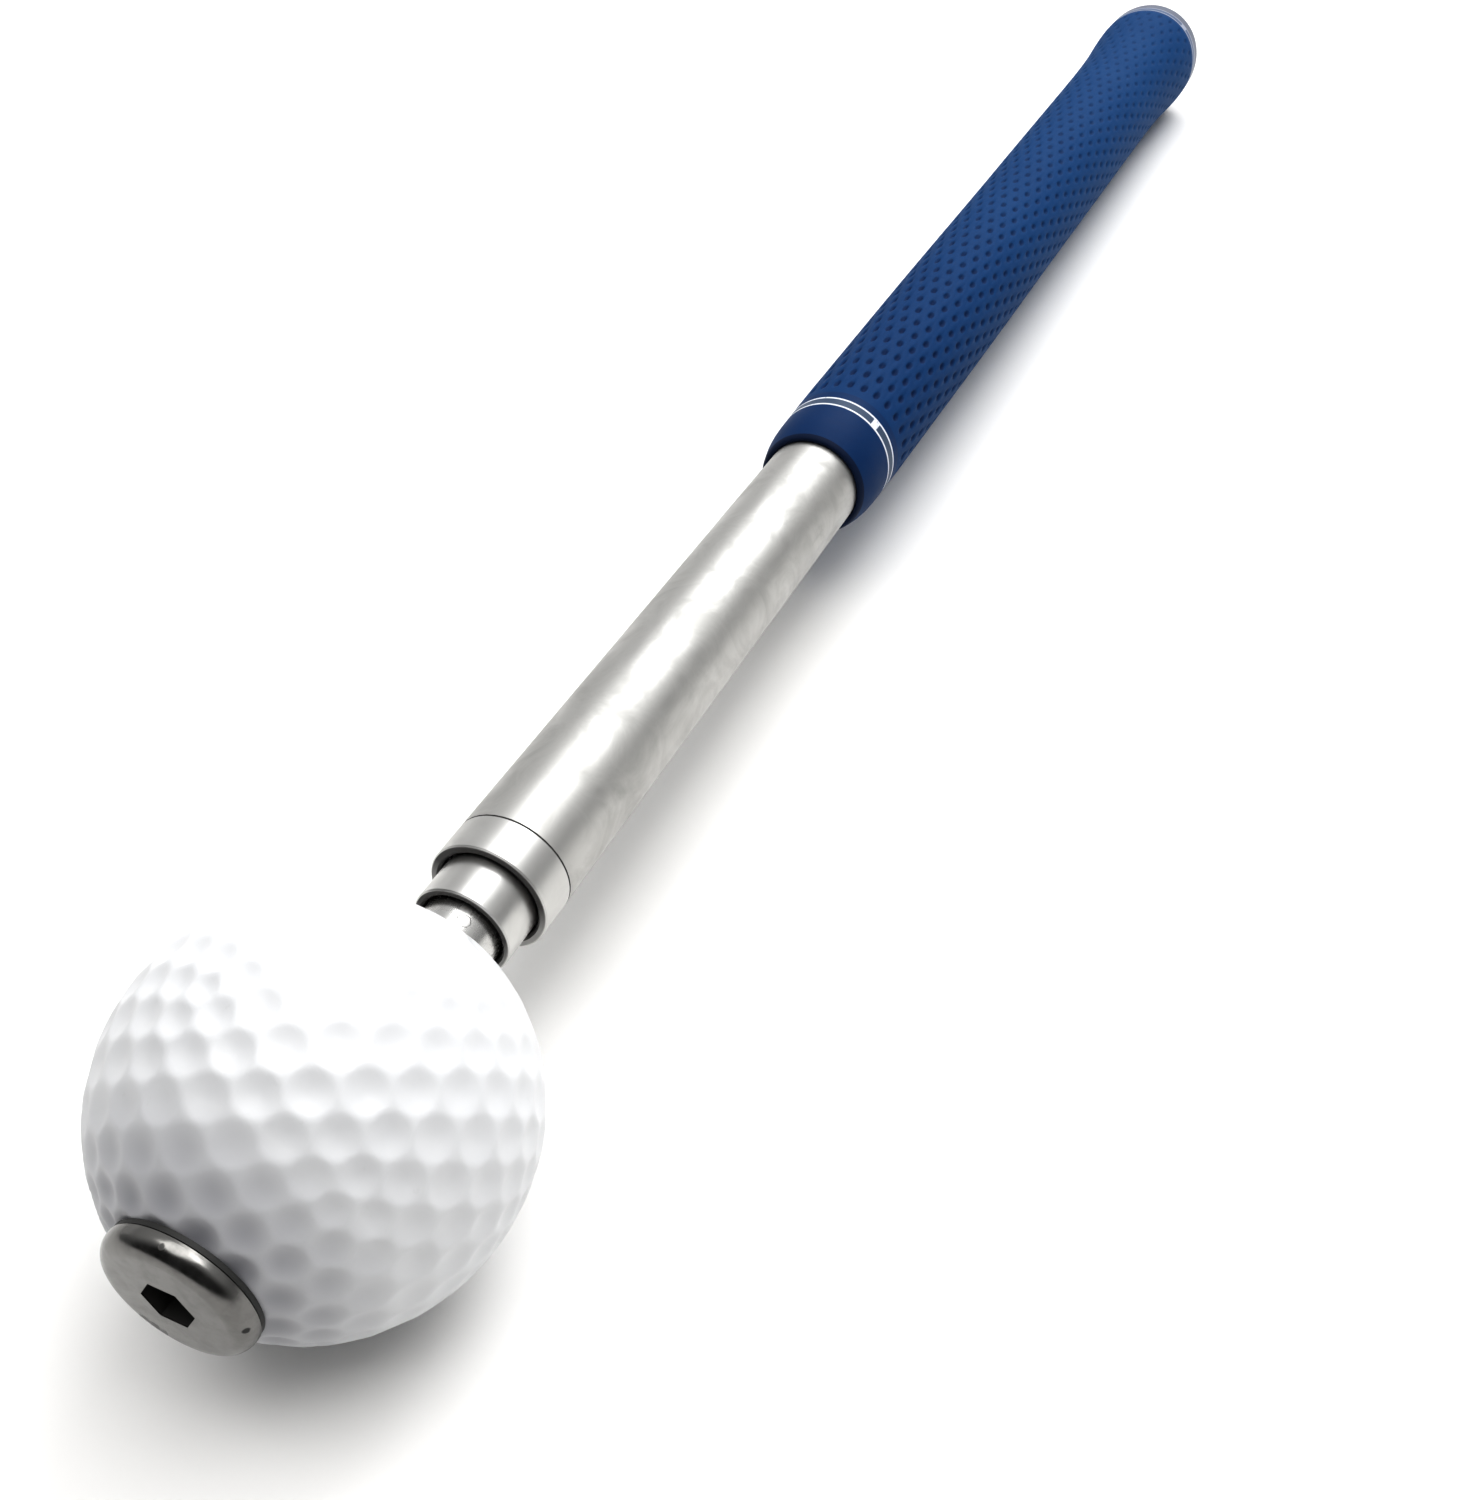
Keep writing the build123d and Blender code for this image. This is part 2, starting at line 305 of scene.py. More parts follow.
# ------------------------------------------------------------------ materials
# stretch of the fine and the coarse polish lines, along the rod and round it
LINES_ALONG = ((18, 900, 900), (6, 2200, 2200))
LINES_ROUND = ((1600, 40, 40), (3200, 20, 20))
CLOUD_SHARE = 0.86                      # share of the steel's colour that its darker clouds keep
SEAM_HALF, SEAM_SOFT, SEAM_DARK = 0.13, 0.06, 0.95
HOLE_BELOW, HOLE_SHADE = 0.12, 0.97      # the socket is painted dark from this far below the head's face, as painted shade in the hole
GRIME_DARK = 0.12
# colour of the dark marks: real dirt and stains, and also painted shade and a painted dark
# reflection
DIRT_AND_SHADE = (0.012, 0.011, 0.010)
DIRT_AND_SHADE_ROUGH = 0.62
FACE_SHADE_UP = (0.17, 0.98)                # y and z of the direction in which the painted dark reflection on the end faces is heaviest
FACE_SHADE_FROM, FACE_SHADE_OVER = -0.20, 0.55  # cosine to that direction where it gets heavier
FACE_SHADE_THIN, FACE_SHADE_MORE = 0.30, 0.62   # strength below that, and what is added above it
FACE_HALF, FACE_SOFT = 0.08, 0.06
MOUTH_LENGTH, MOUTH_RING, MOUTH_DARK = 2.0, 0.30, 0.92
STAIN_RAGGED, STAIN_CORE, STAIN_EDGE = 0.6, 0.7, 0.3    # shares of a stain's size
# painted glint on the rod: the pale patch's colour and its dark rim
GLINT_FILM, GLINT_RIM = (0.80, 0.80, 0.79), (0.06, 0.06, 0.055)
GLINT_FILM_TINT, GLINT_RIM_DARK, GLINT_RAGGED, GLINT_ROUGH = 0.15, 0.8, 0.5, 0.30


def steel(name, colour, rough, grain=1.0, ring=False, scuffs=1.0, smudges=1.0, brushed=0.0,
          seam=None, socket=None, faces=(), dots=(), glint=None):
    """Used stainless steel.

    The polish lines run along the rod, or round it for turned parts (ring). grain is their
    depth, scuffs and smudges the strength of those marks, and brushed the anisotropy.
    The rest are places in mm: seam, the x of a dark joint line; socket, the bolt head's face x
    and the radius of its hole, which is darkened as painted shade; faces, the face x and bore
    radius of each end face, which gets a painted dark reflection, heavier on its upper part, and
    painted shade round the bore; dots, stains as (x, y, z, size, strength); and last, a painted
    glint, a ragged pale patch with a dark rim, as (x, y, z, size).
    """
    m = Nodes(name)
    x, y, z = m.xyz()
    off_axis = m.length(y, z)
    stretch = LINES_ROUND if ring else LINES_ALONG
    fine = m.noise(m.scaled(*stretch[0]), 1.0, 3, 0.6)
    lines = m.noise(m.scaled(*stretch[1]), 1.0, 2, 0.5)
    cloud = m.noise(m.coord, 75, 4, 0.55)
    smudge = m.ramp(m.noise(m.coord, 130, 5, 0.6, 0.8), (0.40, 0.0), (0.66, 1.0))
    fleck = m.ramp(m.noise(m.scaled(140, 260, 260), 1.0, 5, 0.65, 0.6), (0.60, 0.0), (0.72, 1.0))
    patch = m.ramp(m.noise(m.coord, 34, 2, 0.5), (0.48, 0.0), (0.62, 1.0))
    scuff = m.mul(fleck, patch)
    # each mark: mask, how far it darkens, its share of the colour, how much it roughens
    marks = ((smudge, 0.16 * smudges, 0.60, 0.07 * smudges),
             (scuff, 0.22 * scuffs, 0.62, 0.10 * scuffs))
    base = m.mix(cloud, colour, shade(colour, CLOUD_SHARE))
    r = m.add(rough - 0.05, m.mul(cloud, 0.10))
    r = m.add(r, m.mul(fine, 0.05))
    for mask, darken, share, roughen in marks:
        base = m.mix(m.mul(mask, darken), base, shade(colour, share))
        r = m.add(r, m.mul(mask, roughen))

    dark = []
    if seam is not None:
        dark.append(m.mul(m.band(x, seam, SEAM_HALF, SEAM_SOFT), SEAM_DARK))
    if socket is not None:
        face, reach = socket
        # painted shade darkens the socket's hole; the noise on the head is dirt
        hole = m.mul(m.below(off_axis, reach * MM), m.below(x, (face - HOLE_BELOW) * MM))
        grime_and_shade = m.ramp(m.noise(m.coord, 520, 4, 0.65), (0.42, 0.0), (0.70, 1.0))
        dark += [m.mul(hole, HOLE_SHADE), m.mul(grime_and_shade, GRIME_DARK)]
    for face, bore in faces:
        # painted dark reflection on the end face, heavier on its upper part, and painted shade all
        # round the bore's mouth
        upward = m.div(m.add(m.mul(y, FACE_SHADE_UP[0]), m.mul(z, FACE_SHADE_UP[1])), off_axis)
        face_shade = m.add(m.mul(m.rise(upward, FACE_SHADE_FROM, FACE_SHADE_OVER), FACE_SHADE_MORE), FACE_SHADE_THIN)
        mouth = m.mul(m.above(x, (face - MOUTH_LENGTH) * MM),
                      m.below(off_axis, (bore + MOUTH_RING) * MM))
        dark += [m.mul(m.band(x, face, FACE_HALF, FACE_SOFT), face_shade), m.mul(mouth, MOUTH_DARK)]
    for *place, size, weight in dots:
        ragged = m.mul(m.noise(m.coord, 1500, 3, 0.6), STAIN_RAGGED * size * MM)
        edge = STAIN_EDGE * size * MM
        far = m.sub(m.add(m.distance((x, y, z), place), ragged), edge)
        dark.append(m.mul(m.fade(far, STAIN_CORE * size * MM, edge), weight))
    metal = 1.0
    if dark:
        dark = m.most(*dark)
        base = m.mix(dark, base, DIRT_AND_SHADE)
        r = m.mix(dark, r, DIRT_AND_SHADE_ROUGH, "FLOAT")
        metal = m.sub(1.0, dark, clamp=True)

    normal = m.bump(fine, 0.10 * grain, 0.00004)
    normal = m.bump(lines, 0.08 * grain, 0.00003, normal)
    normal = m.bump(smudge, 0.05 * grain, 0.00006, normal)
    if glint is not None:
        # painted glint: a ragged pale patch with a dark rim, standing in for a reflection
        *place, size = glint
        near = m.fade(m.distance((x, y, z), place), 0.0, size * MM)
        glint_shape = m.add(near, m.mul(m.noise(m.coord, 1400, 5, 0.7), GLINT_RAGGED))
        glint_patch = m.ramp(glint_shape, (0.60, 0.0), (0.66, 1.0))
        rim = m.ramp(glint_shape, (0.575, 0.0), (0.605, 1.0), (0.635, 0.0))
        base = m.mix(m.mul(glint_patch, GLINT_FILM_TINT), base, GLINT_FILM)
        base = m.mix(m.mul(rim, GLINT_RIM_DARK), base, GLINT_RIM)
        r = m.mix(glint_patch, r, GLINT_ROUGH, "FLOAT")
        normal = m.bump(glint_patch, 0.5, 0.00015, normal)
    m.set(Base_Color=base, Metallic=metal, Roughness=r, Normal=normal)
    if brushed:
        tangent = m.node("Tangent")
        tangent.direction_type = "RADIAL"
        tangent.axis = "X"
        m.set(Anisotropic=brushed, Anisotropic_Rotation=0.25, Tangent=tangent.outputs[0])
    return m.mat


def dark_polymer(name, colour, rough):
    """Black rubber or plastic, with a fine moulded grain."""
    m = Nodes(name)
    grain = m.noise(m.coord, 2600, 3, 0.6)
    cloud = m.noise(m.coord, 180, 3, 0.5)
    m.set(Base_Color=m.mix(cloud, colour, shade(colour, 1.9)),
          Roughness=m.add(rough, m.mul(grain, 0.15)), Normal=m.bump(grain, 0.25, 0.00006))
    return m.mat


def core_rubber(name):
    m = Nodes(name)
    grain = m.noise(m.coord, 900, 4, 0.6)
    m.set(Base_Color=m.mix(grain, (0.30, 0.33, 0.36), (0.42, 0.45, 0.47)), Roughness=0.6,
          Normal=m.bump(grain, 0.3, 0.0001))
    return m.mat


def ball_white(name):
    """White cover, darkened round the bolt by painted shade, which is deepest in the dimples."""
    white_a, white_b = (0.705, 0.71, 0.725), (0.755, 0.76, 0.77)
    grime_and_shade, speck_tone = (0.27, 0.27, 0.30), (0.50, 0.50, 0.49)
    painted_shade_from, painted_shade_over = 0.60, 0.34     # ahead of the ball's centre, in ball radii
    painted_shade_all, painted_shade_haze, painted_hollow_shade = 0.36, 0.35, 0.42
    m = Nodes(name)
    x, y, z = m.xyz()
    haze = m.noise(m.coord, 90, 3, 0.5)
    speck = m.ramp(m.noise(m.coord, 900, 4, 0.6), (0.66, 0.0), (0.74, 1.0))
    round_bolt = m.rise(x, (BALL_X + painted_shade_from * BALL_R) * MM, painted_shade_over * BALL_R * MM)
    radius = m.distance((x, y, z), (BALL_X, 0, 0))
    hollow = m.div(m.sub(BALL_R * MM, radius), DIMPLE_DEPTH * MM, clamp=True)
    haze_and_hollow_shade = m.add(m.mul(haze, painted_shade_haze), m.mul(hollow, painted_hollow_shade))
    # painted shade: darker round the bolt, and darker still in the dimples' hollows
    wear_and_shade = m.mul(round_bolt, m.add(painted_shade_all, haze_and_hollow_shade), clamp=True)
    base = m.mix(haze, white_a, white_b)
    base = m.mix(wear_and_shade, base, grime_and_shade)
    base = m.mix(m.mul(speck, 0.12), base, speck_tone)
    m.set(Base_Color=base, Roughness=m.add(0.34, m.mul(haze, 0.12)), IOR=1.45,
          Coat_Weight=0.10, Coat_Roughness=0.25, Subsurface_Weight=0.04,
          Subsurface_Scale=0.0010, Subsurface_Radius=(1.0, 0.95, 0.9),
          Normal=m.bump(m.noise(m.coord, 1500, 3, 0.5), 0.05, 0.00004))
    return m.mat


def grip_blue(name):
    """Blue rubber with pits and a mouth lip darkened by painted shade, and white paint rings near
    both ends.
    """
    blue_a, blue_b = (0.0046, 0.051, 0.163), (0.0090, 0.069, 0.200)
    mouth_blue, crisp_blue = (0.0022, 0.027, 0.100), (0.0026, 0.028, 0.104)
    mottle_blue, worn_blue = (0.014, 0.066, 0.180), (0.030, 0.075, 0.180)
    pit_shade_blue, lip_shade_blue = (0.0004, 0.0105, 0.055), (0.006, 0.012, 0.035)
    mouth_band, butt_band = (0.075, 0.105, 0.155), (0.160, 0.195, 0.285)
    mouth_paint, butt_paint = (0.72, 0.75, 0.81), (0.40, 0.43, 0.51)
    butt_cap = (0.200, 0.210, 0.250)
    pit_reach, pit_ragged = 1.45, 0.9       # a pit's edge, and how far the noise eats into it
    pit_worn, pit_crisp = 0.30, 0.60        # strength of its painted shade when worn, and what crisp adds
    m = Nodes(name)
    x, y, z = m.xyz()
    angle = m.math("ARCTAN2", z, y)
    crisp = m.rise(x, WORN_TO * MM, CRISP_OVER * MM)

    # pits, darkened with painted shade: the same staggered pattern as the mesh, so that the painted
    # shade and the hollows agree
    row = m.div(m.sub(PIT_FIRST * MM, x), PIT_PITCH * MM)
    row_i = m.math("ROUND", row)
    dx = m.mul(m.sub(row, row_i), PIT_PITCH)
    stagger = m.mul(m.math("MODULO", row_i, 2.0), 0.5)
    turn = m.sub(m.mul(m.sub(angle, PIT_PHASE), PITS_ROUND / TAU), stagger)
    da = m.sub(turn, m.math("ROUND", turn))
    dy = m.mul(da, m.mul(m.length(y, z), TAU / PITS_ROUND / MM))
    q = m.add(m.math("POWER", m.div(dx, PIT_A), 2.0),
              m.math("POWER", m.math("ABSOLUTE", m.div(dy, PIT_B)), 2.0))
    ragged = m.mul(m.noise(m.coord, 1100, 3, 0.6), pit_ragged)
    inside = m.sub(pit_reach, m.add(q, ragged), clamp=True)
    rows = m.mul(m.above(row_i, -0.5), m.below(row_i, PIT_RINGS - 0.5))
    pit_shade = m.mul(m.math("POWER", inside, 0.5), rows)
    pit_shade = m.mul(pit_shade, m.add(pit_worn, m.mul(crisp, pit_crisp)))

    # zones along the grip, and its wear
    at_butt = m.below(x, BUTT_TONES_END * MM)
    at_mouth = m.above(x, SMOOTH_MOUTH * MM)
    smooth_zone = m.most(at_mouth, m.below(x, SMOOTH_BUTT * MM))
    between = m.most(m.band(x, MOUTH_BAND_X, MOUTH_BAND_HALF, 0.2), m.below(x, BUTT_BAND_END * MM))
    cap = m.below(x, BUTT_CAP_END * MM)
    # the last stretch before the mouth, darkened as painted shade
    lip_shade = m.above(x, (GRIP_END - LIP_LENGTH) * MM)
    cloud = m.noise(m.coord, 60, 4, 0.55)
    mottle = m.noise(m.coord, 700, 4, 0.6)
    wear_and_shade = m.ramp(m.noise(m.scaled(40, 90, 90), 1.0, 5, 0.6), (0.55, 0.0), (0.75, 1.0))

    # paint rings and the little block that joins each pair
    paint = [m.band(x, centre, PAINT_HALF, PAINT_SOFT) for centre in PAINT_RINGS]
    for centre, middle in PAINT_BLOCKS:
        off = m.math("ABSOLUTE", m.sub(angle, middle))
        paint.append(m.mul(m.band(x, centre, BLOCK_HALF_X, PAINT_SOFT),
                           m.fade(off, BLOCK_HALF_TURN, BLOCK_SOFT_TURN)))
    chips = m.ramp(m.noise(m.coord, 2400, 3, 0.6), (0.30, 0.55), (0.42, 1.0))
    paint = m.mul(m.most(*paint), chips)

    # layers of colour from the bottom up: mask, strength, colour
    # the pit layer and the lip layer are painted shade
    layers = (
        (at_mouth, 0.9, mouth_blue), (m.math("POWER", crisp, 2.0), 0.50, crisp_blue),
        (mottle, 0.22, mottle_blue), (wear_and_shade, 0.14, worn_blue), (pit_shade, 0.92, pit_shade_blue),
        (between, 0.80, m.mix(at_butt, mouth_band, butt_band)), (cap, 0.85, butt_cap),
        (lip_shade, 0.85, lip_shade_blue),
    )
    base = m.mix(cloud, blue_a, blue_b)
    for mask, strength, colour in layers:
        base = m.mix(m.mul(mask, strength), base, colour)
    base = m.mix(paint, base, m.mix(at_butt, mouth_paint, butt_paint))
    r = m.add(0.56, m.mul(mottle, 0.16))
    for mask, gloss in ((smooth_zone, 0.10), (between, 0.16)):
        r = m.sub(r, m.mul(mask, gloss))
    r = m.mix(paint, r, 0.38, "FLOAT")
    normal = m.bump(m.noise(m.coord, 3800, 2, 0.6), 0.22, 0.00006)
    normal = m.bump(mottle, 0.12, 0.0001, normal)
    normal = m.bump(m.most(paint, m.mul(between, 0.2)), 0.4, 0.00005, normal)
    m.set(Base_Color=base, Roughness=r, Specular_IOR_Level=0.10, Normal=normal)
    return m.mat


# nicks and stains on the bolt head: (x, y, z, size in mm, strength)
BOLT_MARKS = (
    (385.8, 7.64, 0.1, 0.42, 0.95), (385.4, 0.6, 7.7, 0.35, 0.6),
    (386.4, -4.0, -5.0, 0.75, 0.45), (386.5, -3.0, -5.5, 0.8, 0.45), (386.5, -2.1, -5.9, 0.6, 0.4),
)
GLINT_SPOT = (340.4, 1.93, 4.23, 1.2)    # x, y, z and size of the painted glint next to the ball
MIDDLE_STEEL = (0.66, 0.655, 0.64)
M = {
    "tube": steel("tube_steel", (0.57, 0.565, 0.55), 0.40, smudges=2.3, seam=SEAM_X),
    "middle": steel("middle_steel", MIDDLE_STEEL, 0.27, scuffs=0.6, smudges=1.2),
    "tip": steel("middle_collar_steel", MIDDLE_STEEL, 0.27, scuffs=0.6, smudges=1.2,
                 faces=((MIDDLE_FRONT_X, MIDDLE_BORE_R),)),
    "rod": steel("rod_steel", (0.68, 0.675, 0.66), 0.24, scuffs=0.6, glint=GLINT_SPOT),
    "collar": steel("collar_steel", (0.70, 0.695, 0.68), 0.40, grain=0.7, ring=True, scuffs=0.8,
                    brushed=0.60, seam=SEAM_X, faces=((COLLAR_FRONT_X, COLLAR_BORE_R),)),
    "bolt": steel("bolt_steel", (0.235, 0.231, 0.223), 0.17, grain=0.9, scuffs=0.6, smudges=0.4,
                  socket=(HEAD_TOP_X, BOLT_SOCKET_REACH), dots=BOLT_MARKS),
    "black": dark_polymer("black_rubber", (0.018, 0.018, 0.019), 0.55),
    "plastic": dark_polymer("guide_plastic", (0.022, 0.022, 0.023), 0.42),
    "washer": dark_polymer("washer_dark", (0.022, 0.022, 0.021), 0.48),
    "ball": ball_white("ball_white"),
    "core": core_rubber("core_rubber"),
    "grip": grip_blue("grip_rubber"),
}
LOOK = {
    "outer_tube": "tube", "middle_tube": "middle", "inner_tube": "rod",
    "outer_collar": "collar", "middle_collar": "tip", "middle_end_ring": "collar",
    "inner_rear_plug": "collar", "inner_end_plug": "collar", "rear_washer": "collar",
    "outer_wiper": "black", "middle_wiper": "black", "end_cushion": "black",
    "middle_stop_ring": "black", "inner_stop_ring": "black",
    "outer_guide_bush": "plastic", "middle_guide_bush": "plastic",
    "middle_rear_bush": "plastic", "inner_rear_bush": "plastic", "butt_plug": "plastic",
    "front_washer": "washer", "ball_bolt": "bolt", "ball_core": "core",
    "ball_cover": "ball", "grip": "grip",
}
for node, look in LOOK.items():
    o = NODES[node]
    o.data.materials.clear()
    o.data.materials.append(M[look])


# ------------------------------------------------------------------ grip skin
def grip_outline():
    """Rows of (x, radius) from the middle of the butt face to inside the mouth, in mm."""
    curve = natural_spline(*zip(*GRIP_PROFILE))
    # butt face: a vent hole in the middle, a fine raised ring, then the flat
    rows = [(0.9, 0.02), (0.9, 1.35), (0.15, 1.5), (0.0, 1.75), (0.0, 3.2), (0.0, 5.6),
            (0.10, 5.8), (0.14, 6.0), (0.10, 6.2), (0.0, 6.4), (0.0, 8.2), (0.0, BUTT_FACE_R)]
    for i in range(1, ROUND_STEPS + 1):
        a = math.pi / 2 * i / ROUND_STEPS
        rows.append((BUTT_ROUND * (1 - math.cos(a)), BUTT_FACE_R + BUTT_ROUND * math.sin(a)))
    # the same rows across each ring of pits, and evenly spaced ones before and after the rings
    pits = [PIT_FIRST - k * PIT_PITCH for k in range(PIT_RINGS)]
    xs = set(np.round(np.arange(SKIN_FROM, pits[-1] - PIT_CLEAR, BUTT_STEP), 3))
    for p in pits:
        for off in PIT_ROWS:
            xs.add(round(p + off, 3))
    for v in np.arange(pits[0] + PIT_CLEAR, SKIN_TO, MOUTH_STEP):
        xs.add(round(float(v), 3))
    rows += [(float(v), float(curve(v))) for v in sorted(xs)]
    # rounded lip, then the bore down to the tube
    end, bore = GRIP_END, TUBE_R + BORE_PLAY
    rows += [(v, float(curve(v))) for v in (235.6, 236.2)]
    rows += [(end - 0.55, 8.27), (end - 0.30, 8.12), (end - 0.10, 7.98), (end, 7.80),
             (end, 7.55), (end - 0.1, 7.40), (end - 0.4, bore), (end - 6.0, bore)]
    return np.array(rows)


def build_grip():
    rows = grip_outline()
    n = PIT_COLUMNS * PITS_ROUND
    theta = PIT_PHASE + np.arange(n) * TAU / n
    xs = np.repeat(rows[:, 0], n)
    rs = np.repeat(rows[:, 1], n)
    th = np.tile(theta, len(rows))
    k = np.round((PIT_FIRST - xs) / PIT_PITCH)
    dx = xs - (PIT_FIRST - k * PIT_PITCH)
    turn = (th - PIT_PHASE) * PITS_ROUND / TAU - 0.5 * np.mod(k, 2)
    dy = (turn - np.round(turn)) * rs * TAU / PITS_ROUND
    q = (dx / PIT_A) ** 2 + (dy / PIT_B) ** 2
    crisp = WORN_DEPTH + CRISP_DEPTH * np.clip((xs - WORN_TO) / CRISP_OVER, 0, 1)
    depth = PIT_DEPTH * np.clip(1 - q, 0, 1) ** PIT_ROUNDNESS * crisp
    depth *= (k >= 0) & (k < PIT_RINGS) & (rs > PIT_MIN_R) & (xs > PIT_MIN_X)
    rs = rs - depth
    verts = np.stack([xs, rs * np.cos(th), rs * np.sin(th)], 1) * MM
    faces = []
    for i in range(len(rows) - 1):
        a, b = i * n, (i + 1) * n
        faces += [(a + j, a + (j + 1) % n, b + (j + 1) % n, b + j) for j in range(n)]
    faces.append(tuple(range(n - 1, -1, -1)))
    return new_mesh("grip_skin", verts, faces)


grip = build_grip()
grip.data.materials.append(M["grip"])
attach(grip, "handle")
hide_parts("grip")


# ------------------------------------------------------------------ dimpled ball
def dimple_centres():
    """Unit vectors of a geodesic grid on an icosahedron, turned to the ball's pattern."""
    p = (1 + 5 ** 0.5) / 2
    v = np.array([(-1, p, 0), (1, p, 0), (-1, -p, 0), (1, -p, 0), (0, -1, p), (0, 1, p),
                  (0, -1, -p), (0, 1, -p), (p, 0, -1), (p, 0, 1), (-p, 0, -1), (-p, 0, 1)], float)
    tris = [(0, 11, 5), (0, 5, 1), (0, 1, 7), (0, 7, 10), (0, 10, 11), (1, 5, 9), (5, 11, 4),
            (11, 10, 2), (10, 7, 6), (7, 1, 8), (3, 9, 4), (3, 4, 2), (3, 2, 6), (3, 6, 8),
            (3, 8, 9), (4, 9, 5), (2, 4, 11), (6, 2, 10), (8, 6, 7), (9, 8, 1)]
    pts = {}
    for a, b, c in tris:
        for i in range(DIMPLE_FREQ + 1):
            for j in range(DIMPLE_FREQ + 1 - i):
                q = v[a] * i + v[b] * j + v[c] * (DIMPLE_FREQ - i - j)
                q = q / np.linalg.norm(q)
                pts[tuple(np.round(q, 4))] = q
    out = np.array(list(pts.values()))
    turn = np.array(Euler(PATTERN_TURN, "XYZ").to_matrix())
    return out @ turn.T


def build_ball():
    bm = bmesh.new()
    bmesh.ops.create_icosphere(bm, subdivisions=BALL_SUBDIVISIONS, radius=1.0)
    mesh = bpy.data.meshes.new("ball_shell")
    bm.to_mesh(mesh)
    bm.free()
    co = np.empty(len(mesh.vertices) * 3)
    mesh.vertices.foreach_get("co", co)
    co = co.reshape(-1, 3)
    co /= np.linalg.norm(co, axis=1)[:, None]
    c = dimple_centres()
    near = np.arccos(np.clip(c @ c.T, -1, 1))
    np.fill_diagonal(near, 9)
    rad = np.sort(near, axis=1)[:, :DIMPLE_NEIGHBOURS].mean(axis=1) * DIMPLE_FILL
    dip = np.zeros(len(co))
    for s in range(0, len(co), CHUNK):
        ang = np.arccos(np.clip(co[s:s + CHUNK] @ c.T, -1, 1))
        t = np.clip(ang / rad, 0, 1)
        bowl, soft = 1 - t ** 2, 0.5 + 0.5 * np.cos(math.pi * t)
        dip[s:s + CHUNK] = (DIMPLE_BOWL * bowl + (1 - DIMPLE_BOWL) * soft).max(axis=1)
    co = co * (BALL_R - DIMPLE_DEPTH * dip)[:, None]
    co[:, 0] = np.clip(co[:, 0], -REAR_FLAT, FRONT_FLAT)
    co[:, 0] += BALL_X
    mesh.vertices.foreach_set("co", (co * MM).ravel())
    return finish_mesh(mesh, "ball_shell")


ball = build_ball()
ball.data.materials.append(M["ball"])
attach(ball, "inner_stage")
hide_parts("ball_cover")

# ------------------------------------------------------------------ floor
# the rod lies on the grip's butt end and on the ball, so the floor is tilted to it
FLOOR_TILT = math.radians(1.458)
FLOOR_HALF, FLOOR_GAP = 3.0, 0.0001     # metres
FLOOR_WHITE, FLOOR_PALE = (0.850, 0.845, 0.836), (0.885, 0.880, 0.871)
FLOOR_DUST = (0.12, 0.11, 0.10)
DUST_SCALE, DUST_SIZE, DUST_WEIGHT = 17, 0.0065, 0.6

normal = Vector((math.sin(FLOOR_TILT), 0, math.cos(FLOOR_TILT)))
contact = Vector((BALL_X * MM, 0, 0)) - normal * BALL_R * MM
side = Vector((0, 1, 0))
along = side.cross(normal)
corners = [contact + along * a * FLOOR_HALF + side * b * FLOOR_HALF - normal * FLOOR_GAP
           for a, b in ((-1, -1), (1, -1), (1, 1), (-1, 1))]
floor = new_mesh("floor", corners, [(0, 1, 2, 3)], smooth=False)
if floor.data.polygons[0].normal.dot(normal) < 0:
    floor.data.flip_normals()
mf = Nodes("floor_white")
dust = mf.node("TexVoronoi")
dust.inputs["Scale"].default_value = DUST_SCALE
mf.link(mf.coord, dust.inputs["Vector"])
speck = mf.mul(mf.below(dust.outputs["Distance"], DUST_SIZE), DUST_WEIGHT)
white = mf.mix(mf.noise(mf.coord, 14, 3, 0.5), FLOOR_WHITE, FLOOR_PALE)
mf.set(Base_Color=mf.mix(speck, white, FLOOR_DUST), Roughness=0.6, Specular_IOR_Level=0.3,
       Normal=mf.bump(mf.noise(mf.coord, 900, 3, 0.5), 0.05, 0.0001))
floor.data.materials.append(mf.mat)

# ------------------------------------------------------------------ camera
# at the photograph's viewing place
CAMERA_PLACE = (434.055, 72.909, 124.208)
CAMERA_RIGHT = (-0.400577, 0.916206, 0.010195)
CAMERA_UP = (-0.587862, -0.265524, 0.764143)
CAMERA_BACK = (0.70282, 0.300105, 0.644966)
CAMERA_SENSOR, CAMERA_LENS = 36, 38.424
CAMERA_CLIP = 0.005, 20                 # metres

cam_data = bpy.data.cameras.new("camera")
cam = bpy.data.objects.new("camera", cam_data)
bpy.context.scene.collection.objects.link(cam)
rot = Matrix((CAMERA_RIGHT, CAMERA_UP, CAMERA_BACK)).transposed()
cam.matrix_world = Matrix.Translation(Vector(CAMERA_PLACE) * MM) @ rot.to_4x4()
cam_data.sensor_fit = "HORIZONTAL"
cam_data.sensor_width = CAMERA_SENSOR
cam_data.lens = CAMERA_LENS
cam_data.clip_start, cam_data.clip_end = CAMERA_CLIP
bpy.context.scene.camera = cam

